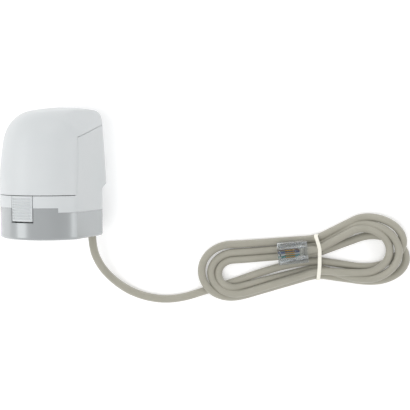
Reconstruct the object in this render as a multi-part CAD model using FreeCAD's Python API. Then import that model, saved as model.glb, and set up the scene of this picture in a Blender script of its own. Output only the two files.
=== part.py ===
import FreeCAD, Part
import math
import os

# A small motorized valve actuator, lying on a table with its control cable. Millimetres.
# It is drawn standing on its valve connection (x to the release latch, y to the cable side, z up
# the valve axis) and is turned into its lying place when each piece is written: the valve axis
# then lies along Y, the cap's top towards +Y, and the latch leans away from straight up.

# --- overall sizes ---------------------------------------------------------------------------
RING_R = 22.0            # outer radius of the grey base ring
FLAT_Y = RING_R - 2.5    # half distance between the two side flats
TOP_Z = 56.7             # highest point of the cover
ROLL = 23.0              # how far the latch leans from straight up when it lies, degrees

# --- clearances --------------------------------------------------------------------------------
RUN_GAP = 0.05           # radial, a running fit
PART_GAP = 0.3           # visible parting gaps
SCREW_GAP = 0.05         # radial, a screw in its hole
SEAT_GAP = 0.02          # between faces that are pressed together

# --- base ring ---------------------------------------------------------------------------------
RING_WALL = 1.6
FLOOR_Z = (0.6, 2.2)     # underside floor of the ring, bottom and top
SEAM_LOW_Z = 11.5        # top edge of the ring at the sides and back
SEAM_HIGH_Z = 13.4       # and in front
SEAM_STEP_DEG = 41.0     # where the seam steps
RING_FILLET = 1.2

# --- housing -----------------------------------------------------------------------------------
SHELL_WALL = 1.8
BODY_R = RING_R + 0.1
GROOVE_Z = 18.7          # parting groove round the front
CREASE_X = math.sqrt(BODY_R**2 - FLAT_Y**2)      # where the side flats begin
CREASE_LEAN = 0.105      # the parting along the crease leans back, mm for each mm of height
CREASE_GAP = 0.08        # the covers meet closely along the crease
FACET_GAP = 0.15         # and along the foot of the facets
DOME_R = 80.0            # the top is a slice of a large sphere
DOME_X = -12.0           # its highest point, behind the axis
TOP_ROUND = 5.6          # rounding of the top edge
TALL_Z = TOP_Z + 3.3     # the sides are drawn up to here, past the dome
FRONT_TAPER = (
    (TOP_Z - 32.7, 0.0), (TOP_Z - 24.7, 0.5), (TOP_Z - 18.7, 1.25), (TOP_Z - 12.7, 2.25), (TALL_Z, 5.4),
)
BUMP_R = RING_R + 2.1    # the back stands out
BUMP_Z = 22.9            # lower edge of the bump
TABLE = -BUMP_R          # height of the table, on which the bump rests
BUMP_TOP_R = BODY_R + 0.2
BUMP_TOP_Z = TOP_Z - 7.7
FLAT_TOP_Z = TOP_Z - 14.6   # top edge of a side flat, at the crease
FLAT_SLOPE = 0.315       # how it rises towards the back
CHAMFER_SLOPE = 1.4      # how the facet above it rises towards the middle

# --- release latch -----------------------------------------------------------------------------
LATCH_DEG = 26.6         # arc that it covers
LATCH_Z = (7.8, GROOVE_Z - PART_GAP)
LATCH_R = RING_R + 0.2
LATCH_BACK_R = LATCH_R - 2.5
RIBS = 8
RIB_DEPTH = 0.7
LATCH_SIDE_GAP = 0.35
LATCH_FOOT_GAP = 0.6
PIN_R = 0.75
PIN_X, PIN_Z = LATCH_R - 4.0, 14.4
PIN_HALF = 6.9
BARREL_HALF = 5.0
BARREL_R = 1.45
FENCE_X = (LATCH_R - 5.6, LATCH_R - 4.8)

# --- valve adapter -----------------------------------------------------------------------------
THREAD_R = 14.19         # minor radius of the M30 x 1.5 inner thread
ADAPTER_R = 16.4
ADAPTER_H = 9.0
ADAPTER_GROOVE = 0.5

# --- plates, posts and screws --------------------------------------------------------------------
CHASSIS_Z = (14.6, 16.6)
CHASSIS_R = RING_R - 2.0
UPPER_Z = (31.4, 33.0)
UPPER_R = RING_R - 3.5
PLATE_Y = 17.0
UPPER_BACK_X = -16.3
POST_R = 1.5
POSTS = ((-8.0, 13.5), (-4.5, -14.6), (-13.5, 0.0))
BOSS_R = 1.9
BOSS_RING_R = RING_R - 3.4       # radius at which the screw bosses stand
HOUSING_BOSS_DEG = (128.0, -128.0)
CHASSIS_BOSS_DEG = (38.0, -38.0)
HOUSING_BOSS_TOP = 26.0
SCREW_R = 0.9
SCREW_HEAD_R = 1.5
SCREW_HEAD_H = 1.2

# --- drive -------------------------------------------------------------------------------------
MODULE = 0.4
PRESSURE_DEG = 25.0
ADDENDUM = 0.85
DEDENDUM = 1.15
BACKLASH = 0.06
PINION_TEETH = 10
LAST_PINION_TEETH = 12
GEAR_TEETH = 34
NUT_TEETH = 44
NUT_Z = (18.2, 21.2)
THIRD_Z = (21.6, 23.6)
SECOND_Z = (24.4, 26.4)
FIRST_Z = (27.2, 29.2)
MESH_OVER = 0.3          # a pinion is this much longer than its gear is thick, each side
THIRD_DEG = -60.0        # where the third gear's axle stands round the valve axis
AXLE_R = 0.6
HUB_R = 1.4
NUT_HUB_R = 9.0 * MODULE
NUT_FOOT_R = 5.0
SPINDLE_R = 2.5
SPINDLE_Z = (14.0, 29.8)
FOOT_R = 7.0
FOOT_Z = (11.6, 14.2)
KEY_W = 1.6
WASHER_R = 5.0
WASHER_T = 0.6

# --- motor and electronics -----------------------------------------------------------------------
MOTOR_R = 8.0
MOTOR_Z = (33.1, 41.6)
MOTOR_SHAFT_R = 0.75
MOTOR_FROM_GEAR_DEG = 165.0
ROTOR_R = 5.2
MOTOR_WALL = 0.7
BOARD_X = (-17.6, -16.4)
BOARD_HALF = 9.4
BOARD_Z = (21.0, 44.0)
CONNECTOR_Y, CONNECTOR_Z = 4.4, 34.5

# --- cable ---------------------------------------------------------------------------------------
CABLE_D = 3.6
CABLE_X, CABLE_Y = -15.45, 10.8
CLAMP_Z = (2.25, 9.0)
CLAMP_DEG, CLAMP_HALF_DEG = 145.0, 8.5
CORE_R = 0.4             # one insulated core of the cable
CORE_PITCH = 0.9
HANK_H = 7.4
TIE_X = (118.9, 120.8)
TIE_Y = (-23.0, -1.4)
TIE_T = 0.9
PLUG_W, PLUG_H, PLUG_L = 9.65, 6.6, 13.4


def vec(x, y, z=0.0):
    return FreeCAD.Vector(x, y, z)


def polar(r, degrees):
    return r * math.cos(math.radians(degrees)), r * math.sin(math.radians(degrees))


def cyl(r, z0, z1, x=0.0, y=0.0):
    return Part.makeCylinder(r, z1 - z0, vec(x, y, z0))


def box(x0, x1, y0, y1, z0, z1):
    return Part.makeBox(x1 - x0, y1 - y0, z1 - z0, vec(x0, y0, z0))


def tube(r_in, r_out, z0, z1, x=0.0, y=0.0):
    return cyl(r_out, z0, z1, x, y).cut(cyl(r_in, z0 - 1, z1 + 1, x, y))


def prism(points, z0, z1):
    outline = [vec(x, y, z0) for x, y in points]
    return Part.Face(Part.makePolygon(outline + outline[:1])).extrude(vec(0, 0, z1 - z0))


def wedge(deg0, deg1, z0, z1, r=60.0):
    """A slice of pie from the valve axis, between two directions less than 180 degrees apart."""
    middle = (deg0 + deg1) / 2
    return prism([(0, 0), polar(r, deg0), polar(r, middle), polar(r, deg1)], z0, z1)


def slab(half, z0=-10.0, z1=70.0):
    return box(-40, 40, -half, half, z0, z1)


def union(shapes):
    whole = shapes[0]
    for shape in shapes[1:]:
        whole = whole.fuse(shape)
    return whole.removeSplitter()


# The upright object's place when it lies: x, y and z of the drawing go to these directions.
LEAN = math.radians(ROLL)
LYING = FreeCAD.Matrix(
    -math.sin(LEAN), math.cos(LEAN), 0, 0,
    0, 0, 1, 0,
    math.cos(LEAN), math.sin(LEAN), 0, 0,
    0, 0, 0, 1,
)


def lay_down(point):
    return LYING.multiply(vec(*point))


def write(name, shapes, lying=True):
    """Writes one node: a solid, or a group of equal solids that never touch."""
    shapes = shapes if isinstance(shapes, list) else [shapes]
    solids = [solid for shape in shapes for solid in shape.Solids]
    if not solids:
        raise ValueError(name + " has no solid")
    if lying:
        solids = [solid.transformed(LYING) for solid in solids]
    for solid in solids:
        if not solid.isValid():
            raise ValueError(name + " isn't valid")
    group = solids[0] if len(solids) == 1 else Part.makeCompound(solids)
    group.exportStep(os.path.join("parts", name + ".step"))
    print(f"{name:20s} solids {len(solids)}  volume {group.Volume:9.1f}")


# --- housing shell -------------------------------------------------------------------------------
def turned(side, inset):
    """A body turned about the valve axis under one side line, cut by the domed top."""
    points = [vec(0, 0, side[0].z)] + side + [vec(0, 0, side[-1].z)]
    body = Part.Face(Part.makePolygon(points + points[:1])).revolve(vec(0, 0, 0), vec(0, 0, 1), 360)
    dome = Part.makeSphere(DOME_R - inset)
    dome.rotate(vec(0, 0, 0), vec(1, 0, 0), 90)
    centre = vec(DOME_X, 0, TOP_Z - DOME_R)
    dome.translate(centre)
    body = body.common(dome)
    rim = [
        edge for edge in body.Edges
        if edge.BoundBox.YLength > 1
        and all(abs(point.distanceToPoint(centre) - DOME_R + inset) < 1e-3 for point in edge.discretize(5))
    ]
    return body.makeFillet(TOP_ROUND - inset, rim)


def front_side(low, inset):
    """Straight up to the taper, then a few cones that lean in more and more."""
    return [vec(BODY_R - inset - lean, 0, z) for z, lean in ((low, 0.0),) + FRONT_TAPER]


def back_side(low, inset):
    """Straight up to the bump's sloping underside, out, and then one line that leans in."""
    lean = (BUMP_R - BUMP_TOP_R) / (BUMP_TOP_Z - BUMP_Z)
    return [
        vec(BODY_R - inset, 0, low), vec(BODY_R - inset, 0, BUMP_Z - BUMP_R + BODY_R),
        vec(BUMP_R - inset, 0, BUMP_Z),
        vec(BUMP_R - inset - lean * (TALL_Z - BUMP_Z), 0, TALL_Z),
    ]


def facet_cut(side, inset):
    """The half space above a sloping facet over one side flat."""
    z0 = FLAT_TOP_Z - inset * math.hypot(1.0, CHAMFER_SLOPE)
    far = 60.0

    def height(x, y):
        return z0 + (CREASE_X - x) * FLAT_SLOPE + (FLAT_Y - y) * CHAMFER_SLOPE

    corners = [(-far, 0.0), (far, 0.0), (far, far), (-far, far)]
    plane = [vec(x, side * y, height(x, y)) for x, y in corners]
    face = Part.Face(Part.makePolygon(plane + plane[:1]))
    return face.extrude(vec(0, 0, 2 * far))


def housing_solid(inset):
    """The white housing's outer form, or with an inset the space inside its wall."""
    low = SEAM_LOW_Z if inset == 0 else SEAM_LOW_Z - 1
    halves = []
    for half, x0, x1 in ((turned(front_side(low, inset), inset), 0, 40),
                         (turned(back_side(low, inset), inset), -40, 0)):
        half = half.common(box(x0, x1, inset - FLAT_Y, FLAT_Y - inset, 0, 80))
        for side in (1, -1):
            half = half.cut(facet_cut(side, inset))
        halves.append(half)
    return halves[0].fuse(halves[1])


def lower_region(gap):
    """Where the main housing is: below the groove in front, below the facets' foot behind it."""
    far = 60.0
    crease = CREASE_X - min(gap, CREASE_GAP)
    foot = FLAT_TOP_Z - min(gap, FACET_GAP)
    top_x = crease - (foot - GROOVE_Z) * CREASE_LEAN
    outline = [
        vec(far, -far, -far), vec(far, -far, GROOVE_Z - gap), vec(crease, -far, GROOVE_Z - gap),
        vec(top_x, -far, foot + (crease - top_x) * FLAT_SLOPE),
        vec(-far, -far, foot + (crease + far) * FLAT_SLOPE), vec(-far, -far, -far),
    ]
    return Part.Face(Part.makePolygon(outline + outline[:1])).extrude(vec(0, 2 * far, 0))


def latch_notch(gap, z0, z1):
    half = LATCH_DEG / 2 + math.degrees(gap / LATCH_R)
    return wedge(-half, half, z0, z1).cut(cyl(LATCH_BACK_R - 3.5, z0 - 1, z1 + 1))


def housing_pieces():
    shell = housing_solid(0).cut(housing_solid(SHELL_WALL))
    high_seam = wedge(-SEAM_STEP_DEG, SEAM_STEP_DEG, 0, SEAM_HIGH_Z + SEAT_GAP)
    main = shell.common(lower_region(PART_GAP)).cut(high_seam)
    main = main.cut(latch_notch(LATCH_SIDE_GAP, 0, GROOVE_Z + 1))
    main = main.cut(box(-40, 40, -40, 40, 0, SEAM_LOW_Z + SEAT_GAP))
    inner = housing_solid(SHELL_WALL)
    for degrees in HOUSING_BOSS_DEG:
        x, y = polar(BOSS_RING_R, degrees)
        foot, top = CHASSIS_Z[1] + SEAT_GAP, HOUSING_BOSS_TOP
        out_x, out_y = polar(4.5, degrees)
        boss = cyl(BOSS_R, foot, top, x, y)
        web = prism([
            (x - 0.6, y - 0.6 * math.copysign(1, y)), (x + 0.6, y + 0.6 * math.copysign(1, y)),
            (x + out_x + 0.6, y + out_y), (x + out_x - 0.6, y + out_y),
        ], foot, top)
        boss = boss.fuse(web.common(inner))
        boss = boss.cut(cyl(SCREW_R + SCREW_GAP, foot - 1, top - 2, x, y))
        main = main.fuse(boss)
    main = main.removeSplitter()
    cover = shell.cut(lower_region(0))
    return main, cover


# --- base ring, adapter and latch ------------------------------------------------------------------
def base_ring():
    outer = cyl(RING_R, 0, SEAM_HIGH_Z).common(slab(FLAT_Y))
    foot = [e for e in outer.Edges if e.BoundBox.ZMax < 0.01]
    outer = outer.makeFillet(RING_FILLET, foot)
    inner = cyl(RING_R - RING_WALL, -1, SEAM_HIGH_Z + 1).common(slab(FLAT_Y - RING_WALL))
    ring = outer.cut(inner)
    low = box(-40, 40, -40, 40, SEAM_LOW_Z, SEAM_HIGH_Z + 1)
    ring = ring.cut(low.cut(wedge(-SEAM_STEP_DEG, SEAM_STEP_DEG, 0, 40)))
    floor = cyl(RING_R - 1, *FLOOR_Z).common(slab(FLAT_Y - 1))
    ring = ring.fuse(floor.cut(cyl(ADAPTER_R + PART_GAP, -1, 5)))
    for degrees in HOUSING_BOSS_DEG + CHASSIS_BOSS_DEG:
        x, y = polar(BOSS_RING_R, degrees)
        top = CHASSIS_Z[0] - SEAT_GAP
        boss = cyl(BOSS_R, FLOOR_Z[0], top, x, y)
        boss = boss.common(cyl(CHASSIS_R - 0.1, 0, 40).fuse(cyl(RING_R - 1, 0, SEAM_LOW_Z - 1)))
        ring = ring.fuse(boss)
    notch = latch_notch(LATCH_SIDE_GAP, LATCH_Z[0] - LATCH_FOOT_GAP, 40)
    ring = ring.cut(notch)
    fence = box(FENCE_X[0], FENCE_X[1], -4.4, 4.4, FLOOR_Z[0], LATCH_Z[1] - 6.4)
    ring = ring.fuse(fence)
    for side in (1, -1):
        y = sorted((side * (BARREL_HALF + 0.4), side * PIN_HALF))
        ear = box(PIN_X - 1.5, PIN_X + 1.5, y[0], y[1], FLOOR_Z[0], PIN_Z + 1.5)
        within = cyl(RING_R - RING_WALL + 0.3, 0, SEAM_LOW_Z - 1)
        ear = ear.common(within.fuse(cyl(BODY_R - SHELL_WALL - 0.15, 0, 40)))
        ring = ring.fuse(ear)
    ring = ring.cut(pin_hole(PIN_R + SEAT_GAP))
    for degrees in HOUSING_BOSS_DEG + CHASSIS_BOSS_DEG:
        x, y = polar(BOSS_RING_R, degrees)
        ring = ring.cut(cyl(SCREW_R + SCREW_GAP, -1, 20, x, y))
        ring = ring.cut(cyl(SCREW_HEAD_R + SCREW_GAP, -1, FLOOR_Z[0] + SCREW_HEAD_H, x, y))
    hole = cyl(CABLE_D / 2 + 0.1, -1, FLOOR_Z[1] + 0.5, CABLE_X, CABLE_Y)
    ring = ring.cut(hole)
    return ring.removeSplitter()


def pin_hole(r):
    return Part.makeCylinder(r, 2 * PIN_HALF, vec(PIN_X, -PIN_HALF, PIN_Z), vec(0, 1, 0))


def release_latch():
    half = LATCH_DEG / 2
    body = tube(LATCH_BACK_R, LATCH_R, *LATCH_Z).common(wedge(-half, half, *LATCH_Z))
    pitch = (LATCH_Z[1] - LATCH_Z[0]) / RIBS
    for k in range(RIBS):
        z = LATCH_Z[0] + pitch * k
        body = body.cut(tube(LATCH_R - RIB_DEPTH, LATCH_R + 1, z, z + pitch * 0.38))
    foot = vec(PIN_X, -BARREL_HALF, PIN_Z)
    barrel = Part.makeCylinder(BARREL_R, 2 * BARREL_HALF, foot, vec(0, 1, 0))
    neck = box(PIN_X, LATCH_BACK_R + 0.4, 1 - BARREL_HALF, BARREL_HALF - 1, PIN_Z - 1.2, PIN_Z + 1.2)
    body = union([body, barrel, neck])
    return body.cut(pin_hole(PIN_R + RUN_GAP))


def cable_clamp():
    """The block over the ring's floor that grips the cable's end, between adapter and ring wall."""
    block = tube(ADAPTER_R + 0.5, RING_R - RING_WALL - 0.2, *CLAMP_Z)
    block = block.common(wedge(CLAMP_DEG - CLAMP_HALF_DEG, CLAMP_DEG + CLAMP_HALF_DEG, 0, 20))
    for k in range(3):
        z = CLAMP_Z[0] + 2.0 + 1.5 * k
        block = block.cut(tube(ADAPTER_R, ADAPTER_R + 1.0, z, z + 0.7))
    return block


def latch_spring():
    """A small compression spring between the ring's fence and the latch's lower end."""
    wire, coil_r, z = 0.2, 1.1, 10.2
    start, end = FENCE_X[1] + wire + SEAT_GAP, LATCH_BACK_R - 0.5
    helix = Part.makeHelix(0.55, end - start, coil_r)
    circle = Part.makeCircle(wire, vec(coil_r, 0, 0), vec(0, 1, 0))
    coil = Part.Wire(helix).makePipeShell([Part.Wire(circle)], True, True)
    coil.rotate(vec(0, 0, 0), vec(0, 1, 0), 90)
    coil.translate(vec(start, 0, z))
    return coil


def valve_adapter():
    body = tube(THREAD_R, ADAPTER_R, 0, ADAPTER_H)
    groove = tube(ADAPTER_R - ADAPTER_GROOVE, ADAPTER_R + 1, 4.2, 6.0)
    body = body.cut(groove)
    for k in range(12):
        x, y = polar(ADAPTER_R + 0.25, 30.0 * k)
        body = body.cut(cyl(0.6, -1, 3.4, x, y))
    return body


# --- drive -----------------------------------------------------------------------------------------
def gear(teeth, phase, z0, z1, at):
    """An involute spur gear with a tooth's middle at the angle phase, in degrees."""
    pitch_r = MODULE * teeth / 2
    base_r = pitch_r * math.cos(math.radians(PRESSURE_DEG))
    tip_r, root_r = pitch_r + ADDENDUM * MODULE, pitch_r - DEDENDUM * MODULE

    def involute(r):
        a = math.acos(min(1.0, base_r / r))
        return math.tan(a) - a

    def half_angle(r):
        flat = math.pi / (2 * teeth) - BACKLASH / (2 * pitch_r)
        return flat + involute(pitch_r) - involute(max(r, base_r))

    start = max(base_r, root_r)
    flank = [start + (tip_r - start) * k / 3 for k in range(4)]
    if root_r < base_r:
        flank.insert(0, root_r)
    points = []
    for tooth in range(teeth):
        middle = math.radians(phase) + 2 * math.pi * tooth / teeth
        side = [(r, -half_angle(r)) for r in flank] + [(r, half_angle(r)) for r in flank[::-1]]
        points += [(at[0] + r * math.cos(middle + a), at[1] + r * math.sin(middle + a)) for r, a in side]
    return prism(points, z0, z1)


def spacing(teeth_a, teeth_b):
    return MODULE * (teeth_a + teeth_b) / 2


def bearing(a, b):
    return math.degrees(math.atan2(b[1] - a[1], b[0] - a[0]))


STEP_R = spacing(LAST_PINION_TEETH, NUT_TEETH)
STEP_DEG = 2 * math.degrees(math.asin(spacing(PINION_TEETH, GEAR_TEETH) / (2 * STEP_R)))
AXIS = (0.0, 0.0)
THIRD_AT = polar(STEP_R, THIRD_DEG)
SECOND_AT = polar(STEP_R, THIRD_DEG + STEP_DEG)
FIRST_AT = polar(STEP_R, THIRD_DEG + 2 * STEP_DEG)
REACH = polar(spacing(PINION_TEETH, GEAR_TEETH), MOTOR_FROM_GEAR_DEG)
MOTOR_AT = (FIRST_AT[0] + REACH[0], FIRST_AT[1] + REACH[1])


def driven_phase(gear_at, pinion_at, teeth):
    """The gear has a gap facing its pinion; the pinion has a tooth there."""
    return bearing(gear_at, pinion_at) + 180.0 / teeth


def compound(at, gear_z, pinion_z, pinion_teeth, driver_at, driven_at):
    wheel = gear(GEAR_TEETH, driven_phase(at, driver_at, GEAR_TEETH), *gear_z, at)
    pinion = gear(pinion_teeth, bearing(at, driven_at), *pinion_z, at)
    low, high = min(gear_z[0], pinion_z[0]), max(gear_z[1], pinion_z[1])
    hub = cyl(HUB_R, low - 0.2, high + 0.2, *at)
    return union([wheel, pinion, hub]).cut(cyl(AXLE_R + RUN_GAP, 0, 60, *at))


def drive_nut():
    wheel = gear(NUT_TEETH, driven_phase(AXIS, THIRD_AT, NUT_TEETH), *NUT_Z, AXIS)
    foot = cyl(NUT_FOOT_R, CHASSIS_Z[1] + RUN_GAP, NUT_Z[0] + 0.1)
    hub = cyl(NUT_HUB_R, NUT_Z[0], UPPER_Z[0] - WASHER_T - 2 * RUN_GAP)
    return union([wheel, foot, hub]).cut(cyl(SPINDLE_R + RUN_GAP, 0, 60))


def plunger_spindle():
    rod = cyl(SPINDLE_R, *SPINDLE_Z)
    key = box(-KEY_W / 2, KEY_W / 2, 0, SPINDLE_R + 0.9, FOOT_Z[1] + SEAT_GAP, CHASSIS_Z[1] - 0.4)
    return rod.fuse(key).removeSplitter()


def pressure_foot():
    foot = cyl(FOOT_R, *FOOT_Z)
    foot = foot.makeFillet(0.6, [e for e in foot.Edges if e.BoundBox.ZMax < FOOT_Z[0] + 0.01])
    return foot.cut(cyl(SPINDLE_R + SEAT_GAP, SPINDLE_Z[0], 20))


def gear_axles():
    ends = (CHASSIS_Z[0] + 0.5, UPPER_Z[1] - 0.3)
    return [cyl(AXLE_R, *ends, *at) for at in (THIRD_AT, SECOND_AT, FIRST_AT)]


# --- plates ----------------------------------------------------------------------------------------
def chassis_plate():
    plate = cyl(CHASSIS_R, *CHASSIS_Z).common(slab(PLATE_Y))
    plate = plate.cut(box(PIN_X - 2.6, 30, -8.0, 8.0, 0, 40))
    plate = plate.cut(cyl(SPINDLE_R + RUN_GAP, 0, 60))
    slot = box(-KEY_W / 2 - RUN_GAP, KEY_W / 2 + RUN_GAP, 0, SPINDLE_R + 1.0, 0, 40)
    plate = plate.cut(slot)
    for x, y in (THIRD_AT, SECOND_AT, FIRST_AT):
        plate = plate.cut(cyl(AXLE_R + SEAT_GAP, 0, 40, x, y))
    for x, y in POSTS:
        plate = plate.cut(cyl(SCREW_R + SCREW_GAP, 0, 40, x, y))
    for degrees in HOUSING_BOSS_DEG + CHASSIS_BOSS_DEG:
        x, y = polar(BOSS_RING_R, degrees)
        plate = plate.cut(cyl(SCREW_R + SCREW_GAP, 0, 40, x, y))
    return plate.cut(cyl(2.4, 0, 40, CABLE_X - 0.4, CABLE_Y + 0.2))


def upper_plate():
    plate = cyl(UPPER_R, *UPPER_Z).common(slab(PLATE_Y - 0.4))
    plate = plate.cut(box(-40, UPPER_BACK_X, -40, 40, 0, 60))
    plate = plate.cut(box(-40, -13.0, CONNECTOR_Y - 2.4, CONNECTOR_Y + 2.4, 0, 60))
    plate = plate.cut(cyl(SPINDLE_R + 0.3, 0, 60))
    plate = plate.cut(cyl(MOTOR_SHAFT_R + 0.3, 0, 60, *MOTOR_AT))
    for x, y in (THIRD_AT, SECOND_AT, FIRST_AT):
        plate = plate.cut(cyl(AXLE_R + SEAT_GAP, 0, 60, x, y))
    for x, y in POSTS:
        plate = plate.cut(cyl(SCREW_R + SCREW_GAP, 0, 60, x, y))
    return plate


def plate_posts():
    posts = []
    for x, y in POSTS:
        post = cyl(POST_R, CHASSIS_Z[1] + SEAT_GAP, UPPER_Z[0] - SEAT_GAP, x, y)
        posts.append(post.cut(cyl(SCREW_R + SCREW_GAP, 0, 60, x, y)))
    return posts


def screw(x, y, head_z, tip_z):
    """A cross-recess pan head screw; it points up when its tip is above its head."""
    up = 1 if tip_z > head_z else -1
    low, high = sorted((head_z, head_z + up * SCREW_HEAD_H))
    head = cyl(SCREW_HEAD_R, low, high, x, y)
    shank = cyl(SCREW_R, *sorted((head_z + up * 0.5, tip_z)), x, y)
    body = head.fuse(shank).removeSplitter()
    for a, b in ((1.0, 0.2), (0.2, 1.0)):
        z0, z1 = sorted((head_z - up * 0.1, head_z + up * 0.6))
        body = body.cut(box(x - a, x + a, y - b, y + b, z0, z1))
    return body


def ring_screws(degrees, tip_z):
    places = [polar(BOSS_RING_R, d) for d in degrees]
    return [screw(x, y, FLOOR_Z[0] - SEAT_GAP, tip_z) for x, y in places]


def plate_screws():
    top = UPPER_Z[1] + SEAT_GAP + SCREW_HEAD_H
    return [screw(x, y, top, UPPER_Z[0] - 6.0) for x, y in POSTS]


# --- motor and electronics -------------------------------------------------------------------------
def motor_can():
    low, high = MOTOR_Z
    can = cyl(MOTOR_R, low, high, *MOTOR_AT)
    can = can.makeFillet(0.6, [e for e in can.Edges if e.BoundBox.ZMin > high - 0.01])
    can = can.cut(cyl(ROTOR_R + 0.3, low + MOTOR_WALL, high - MOTOR_WALL, *MOTOR_AT))
    return can.cut(cyl(MOTOR_SHAFT_R + RUN_GAP, low - 1, high - 0.35, *MOTOR_AT))


def motor_rotor():
    low, high = MOTOR_Z
    magnet = cyl(ROTOR_R, low + MOTOR_WALL + 0.3, high - MOTOR_WALL - 0.3, *MOTOR_AT)
    shaft = cyl(MOTOR_SHAFT_R, FIRST_Z[0] - 0.4, high - 0.4, *MOTOR_AT)
    pinion_z = (FIRST_Z[0] - MESH_OVER, FIRST_Z[1] + MESH_OVER)
    pinion = gear(PINION_TEETH, bearing(MOTOR_AT, FIRST_AT), *pinion_z, MOTOR_AT)
    return union([magnet, shaft, pinion])


def motor_terminals():
    x, y = MOTOR_AT
    base = box(x - MOTOR_R - 2.6, x - MOTOR_R - SEAT_GAP, y - 3.2, y + 3.2, MOTOR_Z[0], MOTOR_Z[0] + 2.4)
    base = base.cut(cyl(MOTOR_R + SEAT_GAP, 0, 60, x, y))
    for k in range(4):
        pin_y = y - 2.25 + 1.5 * k
        base = base.fuse(box(x - MOTOR_R - 2.0, x - MOTOR_R - 1.5, pin_y - 0.25, pin_y + 0.25,
                             MOTOR_Z[0] + 2.0, MOTOR_Z[0] + 4.6))
    return base


def circuit_board():
    board = box(*BOARD_X, -BOARD_HALF, BOARD_HALF, *BOARD_Z)
    for side in (1, -1):
        hole = Part.makeCylinder(0.8, 4, vec(-19, side * (BOARD_HALF - 1.6), BOARD_Z[1] - 1.8), vec(1, 0, 0))
        board = board.cut(hole)
    return board


def board_piece(size, y, z):
    """A block standing on the board's inner face."""
    depth, width, height = size
    face = BOARD_X[1] + SEAT_GAP
    return box(face, face + depth, y - width / 2, y + width / 2, z, z + height)


def wire_connector():
    body = board_piece((4.2, 7.0, 3.4), CONNECTOR_Y, CONNECTOR_Z)
    socket = board_piece((3.0, 5.6, 2.0), CONNECTOR_Y, CONNECTOR_Z + 2.0)
    return body.cut(socket.translated(vec(0.6, 0, 0)))


def capacitor():
    x = BOARD_X[1] + SEAT_GAP + 2.0
    can = cyl(2.0, 34.0, 40.0, x, -6.4)
    return can.makeFillet(0.3, can.Edges[:1])


def signal_wires():
    """Four cores that rise from the clamp, lean over and enter the connector from below."""
    wires = []
    across = polar(1.0, CLAMP_DEG + 90)
    for k in range(4):
        place = k - 1.5
        x = CABLE_X + across[0] * CORE_PITCH * place
        y = CABLE_Y + across[1] * CORE_PITCH * place
        end_y = CONNECTOR_Y - 1.2 * place
        top = CONNECTOR_Z - SEAT_GAP
        route = [(x, y, CLAMP_Z[1] + SEAT_GAP), (x, y, 19.5), (-14.4, end_y, 28.5), (-14.4, end_y, top)]
        wires.append(routed_tube(route, 2 * CORE_R))
    return wires


def motor_leads():
    wires = []
    z = MOTOR_Z[0]
    for k in range(4):
        x, y = MOTOR_AT[0] - MOTOR_R - 1.75, MOTOR_AT[1] - 2.25 + 1.5 * k
        face = BOARD_X[1] + 0.16
        route = [(x, y, z + 4.62), (x, y, z + 7.2), (-12.6, y - 1.2, z + 8.4), (face, y - 2.4, z + 8.0)]
        wires.append(routed_tube(route, 2 * CORE_R))
    return wires


# --- cable, hank, tie and plug, in the lying frame ---------------------------------------------------
GLAND = lay_down((CABLE_X, CABLE_Y, CLAMP_Z[0]))
FLOOR = TABLE + CABLE_D / 2
ROUTE = [
    (GLAND.x, GLAND.y, GLAND.z), (GLAND.x, -6.4, GLAND.z), (19.0, -15.4, -14.6),
    (24.0, -22.3, -19.2), (30.9, -27.9, -21.8), (38.9, -31.2, FLOOR), (48.2, -32.6, FLOOR),
    (57.7, -31.5, FLOOR), (66.5, -28.6, FLOOR),
]
HANK_OUTLINE = [
    (66.5, -26.4), (63.9, -18.5), (68.4, -9.0), (81.9, -4.4), (99.9, -3.4), (117.9, -3.2),
    (132.9, 4.6), (144.4, 8.3), (154.9, 5.2), (161.3, -3.4), (162.7, -13.0), (156.9, -22.2),
    (143.9, -25.4), (129.9, -24.4), (117.9, -22.6), (102.9, -26.6), (87.9, -32.0), (74.9, -31.6),
]
WINDOWS = (((136.4, -8.6), 14.0, 5.6), ((89.9, -18.2), 12.0, 2.4))


def routed_tube(route, diameter):
    """Straight runs joined by tangent arcs, as large as the shorter run of each corner allows."""
    points = [vec(*p) for p in route]
    edges, radii, here, length = [], [], points[0], 0.0
    for before, corner, after in zip(points, points[1:], points[2:]):
        run_in, run_out = corner.sub(before), after.sub(corner)
        turn = run_in.getAngle(run_out)
        cut = 0.45 * min(run_in.Length, run_out.Length)
        radii.append(cut / math.tan(turn / 2))
        way_in, way_out = vec(*run_in).normalize(), vec(*run_out).normalize()
        start, end = corner.sub(way_in * cut), corner.add(way_out * cut)
        inward = way_out.sub(way_in).normalize()
        sag = radii[-1] / math.cos(turn / 2) - radii[-1]
        edges.append(Part.LineSegment(here, start).toShape())
        edges.append(Part.Arc(start, corner.add(inward * sag), end).toShape())
        here = end
    edges.append(Part.LineSegment(here, points[-1]).toShape())
    path = Part.Wire(edges)
    circle = Part.makeCircle(diameter / 2, points[0], points[1].sub(points[0]))
    solid = path.makePipeShell([Part.Wire(circle)], True, False)
    expected = math.pi * diameter**2 / 4 * path.Length
    print("bend radii", [round(r, 1) for r in radii], "length", round(path.Length, 1),
          "volume ratio", round(solid.Volume / expected, 4))
    return solid


def cable_hank():
    curve = Part.BSplineCurve()
    curve.interpolate([vec(x, y, TABLE) for x, y in HANK_OUTLINE], PeriodicFlag=True)
    outline = Part.Face(Part.Wire(curve.toShape()))
    hank = outline.extrude(vec(0, 0, HANK_H))
    for (x, y), long_r, short_r in WINDOWS:
        ellipse = Part.Ellipse(vec(x, y, TABLE - 1), long_r, short_r).toShape()
        hank = hank.cut(Part.Face(Part.Wire(ellipse)).extrude(vec(0, 0, HANK_H + 2)))
    waist = box(TIE_X[0] - 0.05, TIE_X[1] + 0.05, -60, 60, TABLE - 1, TABLE + HANK_H + 1)
    kept = tie_core(TIE_T + 0.05)
    hank = hank.cut(waist.cut(kept))
    return hank.cut(cable_bed()).cut(plug_bed())


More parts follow.
